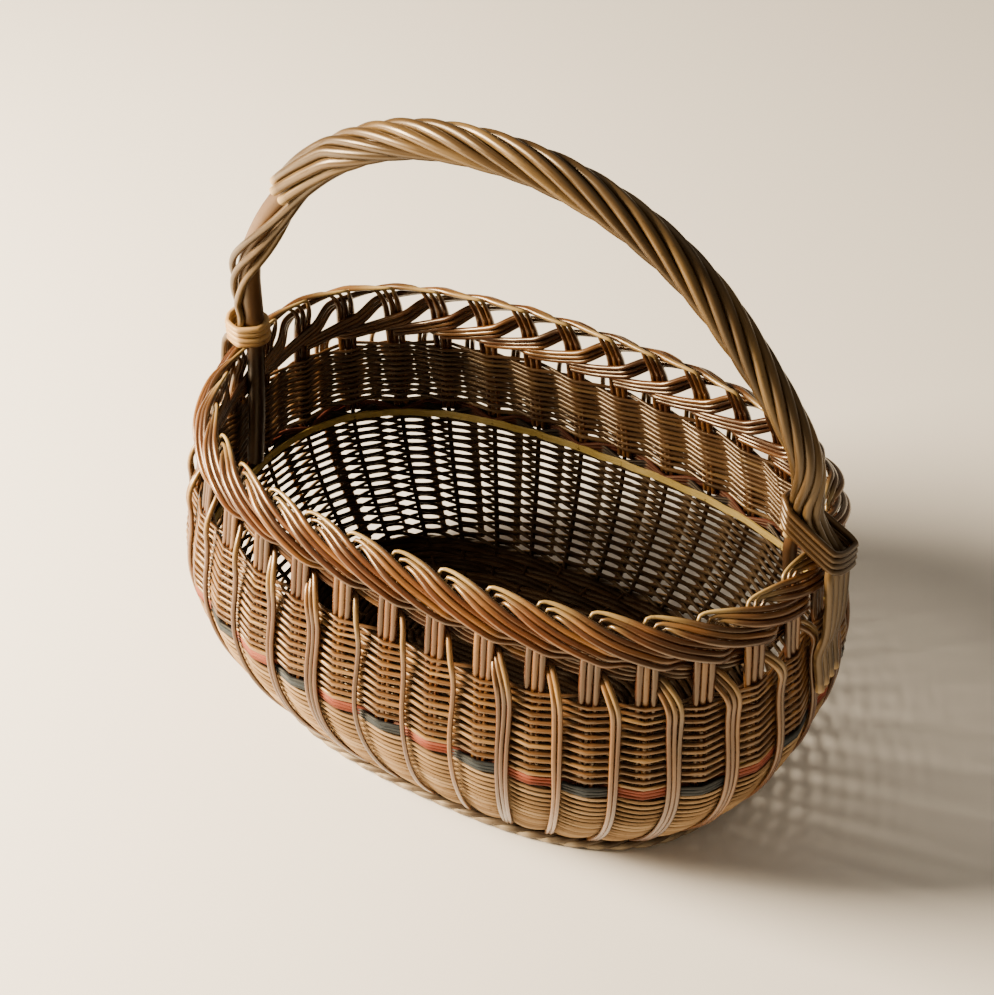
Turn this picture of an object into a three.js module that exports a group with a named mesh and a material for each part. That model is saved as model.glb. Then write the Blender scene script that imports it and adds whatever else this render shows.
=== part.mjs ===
import * as THREE from 'three';

// Oval wicker basket with a trac border and a fixed, twisted handle over its long axis.
// Lengths are millimetres. The origin is on the floor under the middle, +X runs along the
// length, +Z is up. A share is a part of one, and a lag counts pitches along the border.

// Body: half sizes of the middle of the wall at the belly, and how far it is drawn in from
// there at the ends and the sides, at the foot, the top of the weave and the rim
const outlineExponent = 2.6;
const bellyHalfLength = 216;
const bellyHalfWidth = 145;
const bellyHeight = 110;
const footEndDraw = 56;
const footSideDraw = 42;
const weaveEndDraw = 7;
const weaveSideDraw = 11.5;
const rimEndDraw = 12;
const rimSideDraw = 22.5;
const rimHeight = 228;
const openworkHeight = 58;

// Wall: how far its faces lie from the middle, at the ridges and in the grooves
const ridgeOuterDepth = 4.5;
const grooveOuterDepth = 1.2;
const ridgeInnerDepth = 3.5;
const grooveInnerDepth = 5.5;
const colourRowThickness = 4;
const colourBandHeight = 9;
const colourBandFoot = 98;
const wallFoot = 9;
const lowerSpanCount = 3;
const upperSpanCount = 2;
const stripHeight = 5.5;
const stripThickness = 1.6;
const stripDropShare = 0.25;
const lowerRidgeOuterDepth = 3.4;
const lowerGrooveOuterDepth = 1.2;
const lowerRidgeInnerDepth = 4.4;
const lowerGrooveInnerDepth = 2.2;
const baseThickness = 6;
const baseCrown = 2;
const baseRowCount = 10;
const baseRowRise = 1.2;
const baseRowDrop = 1.6;
const baseHeartShare = 0.08;
const footRingWidth = 12;
const footRingFlat = 7;
const footRingReach = 1.5;

// Stakes: groups of three rods, each worked as one flat band
const stakeCount = 34;
const stakeWidth = 14;
const stakeThickness = 4.2;
const ribTopWidth = 11;
const ribFootWidth = 7.4;
const firstStakeShare = 0.8016;

// Handle
const crownHeight = 436.5;
const handleOverhang = 3.6;
const handleExponent = 2.16;
const coreRadius = 6.2;
const strandCount = 8;
const strandHeight = 6;
const twistTurnShare = 2.901;
const strandRowPitch = 7.5;
const rowWidthShare = 0.84;
const legEaseShare = 0.307;
const twistEndShare = 0.633;
const forkRise = 34;
const straightRise = 90;
const borderBendRises = [27, 20, 13, 7, 2, -4];
const borderBendShares = [0.13, 0.32, 0.55, 0.77, 0.93, 1];
const coreFootDrop = 48;
const innerStrandDrop = 14;
const outerStrandDrop = 42;
const leftSlack = 2.4;
const strandShoulderShare = 0.4;
const coreStep = 18;
const coreSideCount = 8;
const archSpanCount = 8;
const bindingHeight = 13;
const bindingThickness = 3.2;
const bindingRise = 13;
const bindingLeanShare = 0.4;
const bindingReachShare = 0.65;
const bindingSideCount = 20;
const edgeSampleCount = 6;

// Fits
const clearance = 0.3;
const ribClearance = 0.5;
const bindingClearance = 0.4;
const strandGap = 0.8;

const fullTurn = Math.PI * 2;
const quarterTurn = Math.PI / 2;
const pitchShare = 1 / stakeCount;
const footHalfLength = bellyHalfLength - footEndDraw;
const footHalfWidth = bellyHalfWidth - footSideDraw;
const weaveHalfLength = bellyHalfLength - weaveEndDraw;
const weaveHalfWidth = bellyHalfWidth - weaveSideDraw;
const rimHalfLength = bellyHalfLength - rimEndDraw;
const rimHalfWidth = bellyHalfWidth - rimSideDraw;
const weaveHeight = rimHeight - openworkHeight;
const layer = stakeThickness + clearance;
const handleHalfSpan = rimHalfLength + handleOverhang;
const handleRise = crownHeight - rimHeight;
const legEaseHeight = rimHeight + handleRise * legEaseShare;
const twistEndHeight = rimHeight + handleRise * twistEndShare;
const forkHeight = rimHeight + forkRise;
const straightHeight = rimHeight + straightRise;
const coreFootHeight = weaveHeight - coreFootDrop;
const innerStrandFoot = rimHeight - innerStrandDrop;
const outerStrandFoot = weaveHeight - outerStrandDrop;
const bindingLevel = rimHeight + bindingRise;

// Unit outline of the basket in plan: a rounded oval between an ellipse and a rectangle
function outline(angle) {
  const c = Math.cos(angle);
  const s = Math.sin(angle);
  const power = 2 / outlineExponent;
  return [
    Math.sign(c) * Math.abs(c) ** power,
    Math.sign(s) * Math.abs(s) ** power,
  ];
}

// Angles that part the rim into equal lengths
const outlineStepCount = 1440;
const rimLengths = [0];
for (let i = 1; i <= outlineStepCount; i += 1) {
  const [x0, y0] = outline((fullTurn * (i - 1)) / outlineStepCount);
  const [x1, y1] = outline((fullTurn * i) / outlineStepCount);
  const step = Math.hypot((x1 - x0) * rimHalfLength, (y1 - y0) * rimHalfWidth);
  rimLengths.push(rimLengths[i - 1] + step);
}
const rimPerimeter = rimLengths[outlineStepCount];

function outlineAt(share) {
  const wanted = (share - Math.floor(share)) * rimPerimeter;
  let low = 0;
  let high = outlineStepCount;
  while (high - low > 1) {
    const middle = (low + high) >> 1;
    if (rimLengths[middle] > wanted) high = middle;
    else low = middle;
  }
  const part = (wanted - rimLengths[low]) / (rimLengths[high] - rimLengths[low]);
  return outline((fullTurn * (low + part)) / outlineStepCount);
}

// Half size of the wall's middle at a height: a bowl to the belly, then drawn in to the rim
function halfSize(height, foot, belly, weave, rim) {
  const lean = (rim - weave) / openworkHeight;
  if (height < bellyHeight) {
    return belly - (belly - foot) * (1 - height / bellyHeight) ** 2;
  }
  if (height > weaveHeight) return weave + lean * (height - weaveHeight);
  const span = weaveHeight - bellyHeight;
  const t = (height - bellyHeight) / span;
  const fall = t * t * (3 - 2 * t);
  return belly + (weave - belly) * fall + lean * span * (t * t * t - t * t);
}

const halfLengthAt = (height) => (
  halfSize(height, footHalfLength, bellyHalfLength, weaveHalfLength, rimHalfLength)
);
const halfWidthAt = (height) => (
  halfSize(height, footHalfWidth, bellyHalfWidth, weaveHalfWidth, rimHalfWidth)
);

function wallMiddle(share, height) {
  const [x, y] = outlineAt(share);
  return new THREE.Vector3(x * halfLengthAt(height), y * halfWidthAt(height), height);
}

// Directions on the wall: along it, up it, square to it and level out of it
function wallFrame(share, height) {
  const shareStep = pitchShare / 20;
  const heightStep = rimHeight / 2000;
  const along = wallMiddle(share + shareStep, height).sub(wallMiddle(share - shareStep, height));
  const up = wallMiddle(share, height + heightStep).sub(wallMiddle(share, height - heightStep));
  along.normalize();
  up.normalize();
  const face = new THREE.Vector3().crossVectors(along, up).normalize();
  const out = new THREE.Vector3(along.y, -along.x, 0).normalize();
  return { up, face, out };
}

function wallPoint(share, height, depth) {
  const { out } = wallFrame(share, height);
  return wallMiddle(share, height).addScaledVector(out, depth);
}

// A closed solid from a row of sections: each is a loop of points, in the same order
function loftGeometry(sections, closed) {
  const count = sections[0].length;
  const positions = [];
  for (const section of sections) {
    for (const point of section) positions.push(point.x, point.y, point.z);
  }
  const indices = [];
  const quad = (a, b, c, d) => indices.push(a, b, c, a, c, d);
  const spans = closed ? sections.length : sections.length - 1;
  for (let i = 0; i < spans; i += 1) {
    const next = (i + 1) % sections.length;
    for (let j = 0; j < count; j += 1) {
      const k = (j + 1) % count;
      quad(i * count + j, i * count + k, next * count + k, next * count + j);
    }
  }
  if (!closed) {
    const last = (sections.length - 1) * count;
    for (let j = 1; j < count - 1; j += 1) {
      indices.push(0, j + 1, j);
      indices.push(last, last + j, last + j + 1);
    }
  }
  const geometry = new THREE.BufferGeometry();
  geometry.setAttribute('position', new THREE.Float32BufferAttribute(positions, 3));
  geometry.setIndex(indices);
  return facingOut(geometry);
}

// Turns the faces of a closed solid to point out of it
function facingOut(geometry) {
  const position = geometry.getAttribute('position');
  const index = geometry.getIndex();
  const corner = [0, 1, 2].map(() => new THREE.Vector3());
  let volume = 0;
  for (let i = 0; i < index.count; i += 3) {
    corner.forEach((point, j) => point.fromBufferAttribute(position, index.getX(i + j)));
    volume += corner[0].dot(corner[1].clone().cross(corner[2]));
  }
  if (volume < 0) {
    for (let i = 0; i < index.count; i += 3) {
      const first = index.getX(i);
      index.setX(i, index.getX(i + 1));
      index.setX(i + 1, first);
    }
  }
  geometry.computeVertexNormals();
  return geometry;
}

const basket = new THREE.Group();

function addPiece(name, geometry, colour, roughness) {
  const material = new THREE.MeshStandardMaterial({ color: colour, roughness, metalness: 0 });
  const mesh = new THREE.Mesh(geometry, material);
  mesh.name = name;
  basket.add(mesh);
}

const colours = {
  stake: 0x9c6b3a,
  weaver: 0xa9834f,
  paleWeaver: 0xc0a26b,
  blueWeaver: 0x4a5257,
  redWeaver: 0xa5604c,
  strip: 0xb59b62,
  base: 0x4a3423,
  footRing: 0x3d2c20,
  handleCore: 0x7b5638,
  handleStrand: 0x86714d,
  binding: 0x9a7a4c,
};
const willowRoughness = 0.6;
const footRoughness = 0.7;

// Wall samples: a ridge over each stake and a groove floor halfway between two stakes
const grooveStartShare = 0.32;
const grooveEndShare = 0.68;
const wallSamples = [];
for (let k = 0; k < stakeCount; k += 1) {
  for (const lag of [0, grooveStartShare, grooveEndShare]) {
    const share = firstStakeShare + (k + lag) * pitchShare;
    wallSamples.push({ share, ridge: lag === 0, panel: k });
  }
}

const outerDepth = (sample) => (sample.ridge ? ridgeOuterDepth : grooveOuterDepth);
const innerDepth = (sample) => -(sample.ridge ? ridgeInnerDepth : grooveInnerDepth);

// Samples of the lower wall: two ridges to a pitch, over the two sticks beside each rib
const lowerStickShares = [0.25, 0.75];
const lowerSamples = [];
for (let k = 0; k < stakeCount; k += 1) {
  const [firstStick, secondStick] = lowerStickShares;
  for (const lag of [0, firstStick, grooveStartShare, grooveEndShare, secondStick]) {
    const share = firstStakeShare + (k + lag) * pitchShare;
    lowerSamples.push({ share, ridge: lowerStickShares.includes(lag) });
  }
}
const lowerOuterDepth = (sample) => (sample.ridge ? lowerRidgeOuterDepth : lowerGrooveOuterDepth);
const lowerInnerDepth = (sample) => -(sample.ridge ? lowerRidgeInnerDepth : lowerGrooveInnerDepth);

const between = (low, high, steps) => (
  Array.from({ length: steps + 1 }, (_, i) => low + ((high - low) * i) / steps)
);

const colourBandTop = colourBandFoot + colourBandHeight;
const lowerLevels = between(wallFoot, colourBandFoot - clearance, lowerSpanCount);
const ribShoulder = weaveHeight - stakeWidth;
const upperLevels = [...between(colourBandTop, ribShoulder, upperSpanCount), weaveHeight];

function wallBand(samples, levels, outer, inner) {
  const sections = samples.map((sample) => [
    ...levels.map((height) => wallPoint(sample.share, height, outer(sample))),
    ...levels.map((height) => wallPoint(sample.share, height, inner(sample))).reverse(),
  ]);
  return loftGeometry(sections, true);
}

const lowerWall = wallBand(lowerSamples, lowerLevels, lowerOuterDepth, lowerInnerDepth);
const upperWall = wallBand(wallSamples, upperLevels, outerDepth, innerDepth);
addPiece('lower_weave', lowerWall, colours.paleWeaver, willowRoughness);
addPiece('upper_weave', upperWall, colours.weaver, willowRoughness);

// Two coloured rows go in and out of the stakes, each outside where the other is inside
const colourRowHeight = (colourBandHeight - clearance) / 2;
const redRowFoot = colourBandFoot;
const blueRowFoot = colourBandTop - colourRowHeight - clearance;

function colourRow(foot, shownPanel) {
  const hiddenDepth = colourRowThickness - ridgeInnerDepth;
  const sections = wallSamples.map((sample) => {
    const shown = sample.panel % 2 === shownPanel;
    const depth = sample.ridge && !shown ? hiddenDepth : outerDepth(sample);
    const back = depth - colourRowThickness;
    return [
      wallPoint(sample.share, foot, depth),
      wallPoint(sample.share, foot + colourRowHeight - clearance, depth),
      wallPoint(sample.share, foot + colourRowHeight - clearance, back),
      wallPoint(sample.share, foot, back),
    ];
  });
  return loftGeometry(sections, true);
}

addPiece('red_weavers', colourRow(redRowFoot, 1), colours.redWeaver, willowRoughness);
addPiece('blue_weavers', colourRow(blueRowFoot, 0), colours.blueWeaver, willowRoughness);

// Flat strip that runs round inside, level with the coloured rows
function innerStrip() {
  const face = -(lowerRidgeInnerDepth + clearance);
  const foot = colourBandFoot - stripHeight * stripDropShare;
  const sections = [];
  for (const sample of lowerSamples) {
    if (sample.ridge) {
      sections.push([
        wallPoint(sample.share, foot, face),
        wallPoint(sample.share, foot + stripHeight, face),
        wallPoint(sample.share, foot + stripHeight, face - stripThickness),
        wallPoint(sample.share, foot, face - stripThickness),
      ]);
    }
  }
  return loftGeometry(sections, true);
}

addPiece('inner_strip', innerStrip(), colours.strip, willowRoughness);

// Woven base inside the foot of the wall. Its rows run round a long heart, and each goes
// over one stick and under the next, where its neighbours go the other way.
function baseGeometry() {
  const inset = lowerRidgeInnerDepth + clearance;
  const halfLength = halfLengthAt(wallFoot) - inset;
  const halfWidth = halfWidthAt(wallFoot) - inset;
  const drawn = 1 - baseHeartShare;
  const point = (stick, reach, height) => {
    const [x, y] = outlineAt(firstStakeShare + stick * pitchShare);
    const short = halfWidth * drawn * (1 - reach);
    const crown = baseCrown * (1 - reach);
    return [x * (halfLength - short), y * (halfWidth - short), wallFoot + crown + height];
  };
  const rings = [[1, () => 0], [1, () => baseThickness - baseRowDrop]];
  for (let row = 0; row < baseRowCount; row += 1) {
    const lift = (stick) => ((stick + row) % 2 ? baseRowRise : -baseRowRise / 2);
    rings.push([1 - (row + 1 / 2) / baseRowCount, (stick) => baseThickness + lift(stick)]);
    rings.push([1 - (row + 1) / baseRowCount, () => baseThickness - baseRowDrop]);
  }
  const positions = [];
  for (const [reach, height] of rings) {
    for (let stick = 0; stick < stakeCount; stick += 1) {
      positions.push(...point(stick, reach, height(stick)));
    }
  }
  const bottom = rings.length * stakeCount;
  const top = bottom + 1;
  positions.push(0, 0, wallFoot + baseCrown);
  positions.push(0, 0, wallFoot + baseCrown + baseThickness);
  const indices = [];
  const last = (rings.length - 1) * stakeCount;
  for (let j = 0; j < stakeCount; j += 1) {
    const k = (j + 1) % stakeCount;
    indices.push(bottom, k, j, top, last + j, last + k);
    for (let row = 0; row < last; row += stakeCount) {
      const above = row + stakeCount;
      indices.push(row + j, row + k, above + k, row + j, above + k, above + j);
    }
  }
  const geometry = new THREE.BufferGeometry();
  geometry.setAttribute('position', new THREE.Float32BufferAttribute(positions, 3));
  geometry.setIndex(indices);
  return facingOut(geometry);
}

addPiece('base', baseGeometry(), colours.base, willowRoughness);

// Foot ring: a stout roll under the edge of the base, flat where it stands
function footRing() {
  const height = wallFoot - clearance;
  const shoulder = footRingWidth / 2;
  const flat = footRingFlat / 2;
  const profile = [
    [-flat, 0], [flat, 0], [shoulder, height / 2],
    [flat, height], [-flat, height], [-shoulder, height / 2],
  ];
  const samples = between(0, 1, stakeCount * 2).slice(1);
  const sections = samples.map((share) => {
    return profile.map(([depth, level]) => {
      const point = wallPoint(share, wallFoot, footRingReach + depth);
      point.z = level;
      return point;
    });
  });
  return loftGeometry(sections, true);
}

addPiece('foot_ring', footRing(), colours.footRing, footRoughness);

// Trac border. Each stake group stands up out of the weave, bends over at the rim towards
// the next stakes, passes outside two of them and inside two, goes out over the weave
// and ends as a rib down the outside of the wall.
// Columns: lag, rise as a share of the openwork, depth in layers, width share,
// and tilt as a share of a quarter turn.
const borderShares = [
  [0, 0.01, 0, 0.93, 0],
  [0, 0.56, 0, 0.93, 0],
  [0, 0.75, -0.85, 0.85, 0],
  [0.04, 0.9, -1.35, 0.72, 0.05],
  [0.25, 0.95, -1.05, 0.7, 0.35],
  [0.6, 0.925, -0.1, 0.67, 0.5],
  [1, 0.86, 0.85, 0.84, 0.5],
  [1.5, 0.765, 1.2, 0.7, 0.5],
  [2, 0.67, 1.2, 0.8, 0.42],
  [2.3, 0.6, 1.1, 0.8, 0.15],
  [2.7, 0.48, -1.1, 0.8, 0],
  [3, 0.41, -1.1, 0.8, 0],
  [3.5, 0.29, -1.1, 0.8, 0],
  [4.28, 0.11, -1.1, 0.7, 0],
  [4.4, 0.09, 0.3, 0.62, 0],
  [4.5, 0.01, 1.6, 0.62, 0],
];
const ribLagShare = 4.5;

function stakeRoute() {
  const rows = borderShares.map(([lag, rise, depth, width, tilt]) => ({
    lag,
    height: weaveHeight + rise * openworkHeight,
    depth: depth * layer,
    width: width * stakeWidth,
    tilt: tilt * quarterTurn,
    level: false,
  }));
  const ribDepth = grooveOuterDepth + ribClearance + stakeThickness / 2;
  const levels = [...lowerLevels, ...upperLevels].reverse();
  const ribLevels = levels.filter((level) => level <= ribShoulder);
  for (const height of ribLevels) {
    const part = (height - wallFoot) / (weaveHeight - wallFoot);
    const width = ribFootWidth + (ribTopWidth - ribFootWidth) * part;
    rows.push({ lag: ribLagShare, height, depth: ribDepth, width, tilt: 0, level: true });
  }
  return rows;
}

const downward = new THREE.Vector3(0, 0, -1);

function stakeGroup(k) {
  const share = firstStakeShare + k * pitchShare;
  const route = stakeRoute();
  const places = route.map((station) => (
    wallPoint(share + station.lag * pitchShare, station.height, station.depth)
  ));
  const sections = route.map((station, i) => {
    const before = places[Math.max(i - 1, 0)];
    const after = places[Math.min(i + 1, places.length - 1)];
    const tangent = after.clone().sub(before).normalize();
    const frame = wallFrame(share + station.lag * pitchShare, station.height);
    const facing = station.level ? frame.out : frame.face;
    if (!station.level) {
      facing.multiplyScalar(Math.cos(station.tilt));
      facing.addScaledVector(frame.up, Math.sin(station.tilt));
      facing.addScaledVector(tangent, -facing.dot(tangent)).normalize();
    }
    const heading = station.level ? downward : tangent;
    const side = new THREE.Vector3().crossVectors(heading, facing).normalize();
    const corners = [[-1, -1], [1, -1], [1, 1], [-1, 1]];
    return corners.map(([across, through]) => (
      places[i].clone()
        .addScaledVector(side, (across * station.width) / 2)
        .addScaledVector(facing, (through * stakeThickness) / 2)
    ));
  });
  return loftGeometry(sections, false);
}

for (let k = 0; k < stakeCount; k += 1) {
  const name = `stake_group_${String(k + 1).padStart(2, '0')}`;
  addPiece(name, stakeGroup(k), colours.stake, willowRoughness);
}

// Handle: an arch in the plane of the length, forked over the border at both feet
const rightShare = 0;
const leftShare = 0.5;
const strandRingRadius = coreRadius + strandGap + strandHeight / 2;
const insideLayerShare = 1.2;
const outsideLayerShare = 1.3;
const exitLayerShare = 1.6;
const coreDepth = -(layer * insideLayerShare + stakeThickness / 2 + clearance + coreRadius);
const rimOuterDepth = layer * outsideLayerShare + stakeWidth / 3 + stakeThickness / 2;
const rowRimDepth = rimOuterDepth + clearance + strandHeight / 2;
const ribOuterDepth = grooveOuterDepth + ribClearance + stakeThickness;
const rowWallDepth = ribOuterDepth + clearance + strandHeight / 2;
const exitOuterDepth = layer * exitLayerShare + stakeThickness / 2;
const rowExitDepth = exitOuterDepth + clearance + strandHeight / 2;

function archX(height) {
  const rise = Math.max(height - weaveHeight, 0) / (crownHeight - weaveHeight);
  return handleHalfSpan * Math.max(1 - rise ** handleExponent, 0) ** (1 / handleExponent);
}

// Centre line of the core: up the left leg inside the wall, over the crown and down again
function coreCurve() {
  const legHeights = [coreFootHeight, weaveHeight - layer, rimHeight];
  const leg = (share) => legHeights.map((height) => wallPoint(share, height, coreDepth));
  const rise = (legEaseHeight - weaveHeight) / (crownHeight - weaveHeight);
  const start = Math.asin(rise ** (handleExponent / 2));
  const arch = between(start, Math.PI - start, archSpanCount).map((angle) => {
    const power = 2 / handleExponent;
    const c = Math.cos(angle);
    const x = -handleHalfSpan * Math.sign(c) * Math.abs(c) ** power;
    const z = weaveHeight + (crownHeight - weaveHeight) * Math.sin(angle) ** power;
    return new THREE.Vector3(x, 0, z);
  });
  return new THREE.CatmullRomCurve3([...leg(leftShare), ...arch, ...leg(rightShare).reverse()]);
}

// Stations along the core, with the direction out of the arch
const coreLine = coreCurve();
const coreSpans = Math.round(coreLine.getLength() / coreStep);
const coreStations = between(0, 1, coreSpans).map((part) => {
  const centre = coreLine.getPointAt(part);
  const tangent = coreLine.getTangentAt(part);
  const outward = new THREE.Vector3(-tangent.z, 0, tangent.x).normalize();
  return { centre, outward, along: part * coreLine.getLength() };
});
const lateral = new THREE.Vector3(0, 1, 0);

// Point at a radius and an angle round the core, the angle counted from outward to +Y
const roundPoint = (station, radius, angle) => (
  station.centre.clone()
    .addScaledVector(station.outward, radius * Math.cos(angle))
    .addScaledVector(lateral, radius * Math.sin(angle))
);

const coreSections = coreStations.map((station) => (
  between(0, fullTurn, coreSideCount).slice(1).map((angle) => roundPoint(station, coreRadius, angle))
));
const handlePieces = new Map();
handlePieces.set('handle_core', loftGeometry(coreSections, false));

// Strands: split rods that lie round the core like the lay of a rope. Five are cut short
// on the left leg and three run on; at both feet the outer ones fork over the border and
// lie on the wall, and on the right the inner ones follow the core inside.
const above = (height) => (station) => station.centre.z > height;
const leftFork = coreStations.findIndex(above(forkHeight));
const leftStraight = coreStations.findIndex(above(straightHeight));
const rightFork = coreStations.findLastIndex(above(forkHeight));
const twistEnd = coreStations.findIndex(above(twistEndHeight));
const twistLength = coreStations[rightFork].along - coreStations[leftStraight].along;
const strandAngle = fullTurn / strandCount;

function strandSection(place, radial, side, widthShare) {
  const halfWidth = (radius) => (
    widthShare * (radius * Math.tan(strandAngle / 2) - strandGap / 2)
  );
  const half = strandHeight / 2;
  const crest = half + clearance;
  const shoulder = half * strandShoulderShare;
  const root = halfWidth(strandRingRadius - half);
  const wide = halfWidth(strandRingRadius + shoulder);
  const profile = [[-root, -half], [root, -half], [wide, shoulder], [0, crest], [-wide, shoulder]];
  return profile.map(([sideways, outwards]) => (
    place.clone().addScaledVector(side, sideways).addScaledVector(radial, outwards)
  ));
}

function roundSection(station, angle, radius) {
  const radial = station.outward.clone().multiplyScalar(Math.cos(angle));
  radial.addScaledVector(lateral, Math.sin(angle));
  const side = station.outward.clone().multiplyScalar(-Math.sin(angle));
  side.addScaledVector(lateral, Math.cos(angle));
  return strandSection(roundPoint(station, radius, angle), radial, side, 1);
}

// Sections of one rod that leaves the core, bends over the border and lies in a row down
// the outside. The bend goes from the rod's place round the core to its place in the row.
function rowSections(share, angle) {
  const bend = borderBendRises.map((rise, i) => (
    [rimHeight + rise, rowRimDepth, borderBendShares[i]]
  ));
  const places = [
    ...bend,
    [rimHeight - openworkHeight / 2, rowRimDepth, 1],
    [weaveHeight, rowExitDepth, 1],
    [weaveHeight - stakeWidth, rowWallDepth, 1],
    [outerStrandFoot, rowWallDepth, 1],
  ];
  return places.map(([height, depth, inRow]) => {
    const outSide = wallFrame(share, height).out.x > 0 ? 1 : -1;
    const outward = new THREE.Vector3(outSide, 0, 0);
    const held = wallPoint(share, height, coreDepth);
    held.addScaledVector(outward, strandRingRadius * Math.cos(angle));
    held.addScaledVector(lateral, strandRingRadius * Math.sin(angle));
    const place = wallPoint(share, height, depth);
    place.addScaledVector(lateral, (angle / strandAngle) * strandRowPitch);
    const turn = angle * (1 - inRow);
    const radial = outward.clone().multiplyScalar(Math.cos(turn));
    radial.addScaledVector(lateral, Math.sin(turn));
    const side = outward.clone().multiplyScalar(-Math.sin(turn));
    side.addScaledVector(lateral, Math.cos(turn));
    return strandSection(held.lerp(place, inRow), radial, side, rowWidthShare);
  });
}

for (let j = 0; j < strandCount; j += 1) {
  const endAngle = (j + 0.5 - strandCount / 2) * strandAngle;
  const angleAt = (station) => {
    const along = Math.max(station.along, coreStations[leftStraight].along);
    const rest = Math.max(coreStations[rightFork].along - along, 0);
    return endAngle + (fullTurn * twistTurnShare * rest) / twistLength;
  };
  const turns = angleAt(coreStations[leftFork]) / fullTurn;
  const leftAngle = (turns - Math.round(turns)) * fullTurn;
  const runsOn = Math.abs(leftAngle) < strandAngle * 1.5;
  const goesOut = Math.abs(endAngle) < quarterTurn;
  const first = runsOn ? leftFork : twistEnd;
  const innerEnd = coreStations.findLastIndex(above(innerStrandFoot));
  const last = goesOut ? rightFork : innerEnd;
  const sections = [];
  if (runsOn) sections.push(...rowSections(leftShare, leftAngle).reverse());
  for (let i = first; i <= last; i += 1) {
    const slackPart = Math.min(Math.max((twistEnd - i) / (twistEnd - leftFork), 0), 1);
    const slack = leftSlack * Math.sin(Math.PI * slackPart);
    const station = coreStations[i];
    sections.push(roundSection(station, angleAt(station), strandRingRadius + slack));
  }
  if (goesOut) sections.push(...rowSections(rightShare, endAngle));
  handlePieces.set(`handle_strand_${j + 1}`, loftGeometry(sections, false));
}

for (const [name, geometry] of handlePieces) {
  const isCore = name === 'handle_core';
  const colour = isCore ? colours.handleCore : colours.handleStrand;
  addPiece(name, geometry, colour, willowRoughness);
}

// Bindings: a flat wrap drawn tight round everything in the leg just above the border
function binding(side, level, lean) {
  const levelAt = (point) => level - (point.x * side - rimHalfLength) * lean;
  const points = [];
  const from = new THREE.Vector3();
  const to = new THREE.Vector3();
  for (const geometry of handlePieces.values()) {
    const position = geometry.getAttribute('position');
    const index = geometry.getIndex();
    for (let i = 0; i < index.count; i += 1) {
      const next = i % 3 === 2 ? i - 2 : i + 1;
      from.fromBufferAttribute(position, index.getX(i));
      to.fromBufferAttribute(position, index.getX(next));
      for (const part of between(0, 1, edgeSampleCount)) {
        const point = from.clone().lerp(to, part);
        const near = Math.abs(point.z - levelAt(point)) < bindingHeight * bindingReachShare;
        if (near && point.x * side > 0) points.push(point);
      }
    }
  }
  const directions = between(0, fullTurn, bindingSideCount).slice(1).map((angle) => (
    new THREE.Vector3(Math.cos(angle), Math.sin(angle), 0)
  ));
  const supports = directions.map((direction) => (
    Math.max(...points.map((point) => point.dot(direction)))
  ));
  const corners = (offset) => directions.map((direction, i) => {
    const k = (i + 1) % directions.length;
    const a = supports[i] + offset;
    const b = supports[k] + offset;
    const other = directions[k];
    const cross = direction.x * other.y - direction.y * other.x;
    const x = (a * other.y - b * direction.y) / cross;
    const y = (b * direction.x - a * other.x) / cross;
    return new THREE.Vector3(x, y, 0);
  });
  const inner = corners(bindingClearance);
  const outer = corners(bindingClearance + bindingThickness);
  const raise = (point, lift) => new THREE.Vector3(point.x, point.y, levelAt(point) + lift);
  const half = bindingHeight / 2;
  return loftGeometry(inner.map((point, i) => [
    raise(point, -half),
    raise(point, half),
    raise(outer[i], half),
    raise(outer[i], -half),
  ]), true);
}

const leftBinding = binding(-1, bindingLevel, 0);
const rightBinding = binding(1, bindingLevel + bindingHeight / 3, bindingLeanShare);
addPiece('left_binding', leftBinding, colours.binding, willowRoughness);
addPiece('right_binding', rightBinding, colours.binding, willowRoughness);

export default basket;
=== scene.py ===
import math
import random

import bpy
import numpy as np
from mathutils import Matrix, Vector


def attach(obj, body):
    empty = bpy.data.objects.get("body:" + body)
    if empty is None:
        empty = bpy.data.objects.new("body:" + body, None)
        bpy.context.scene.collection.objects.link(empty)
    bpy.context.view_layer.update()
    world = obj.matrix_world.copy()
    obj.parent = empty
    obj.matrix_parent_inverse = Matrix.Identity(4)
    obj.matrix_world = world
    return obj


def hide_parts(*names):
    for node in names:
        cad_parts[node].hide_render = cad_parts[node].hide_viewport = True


# Oval willow basket with a trac border and a twisted handle over its length.
# Metres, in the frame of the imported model: the floor is z = 0 and +X runs along the length.
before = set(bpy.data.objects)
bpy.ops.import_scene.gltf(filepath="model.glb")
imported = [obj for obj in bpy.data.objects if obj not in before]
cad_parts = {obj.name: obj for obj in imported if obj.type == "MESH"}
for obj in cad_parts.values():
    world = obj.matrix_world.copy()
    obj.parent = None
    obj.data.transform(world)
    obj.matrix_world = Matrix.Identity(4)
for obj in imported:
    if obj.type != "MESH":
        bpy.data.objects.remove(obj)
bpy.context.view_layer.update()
bpy.ops.object.select_all(action="DESELECT")
random.seed(34)
mm = 0.001


# Camera, at the photograph's angle

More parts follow.
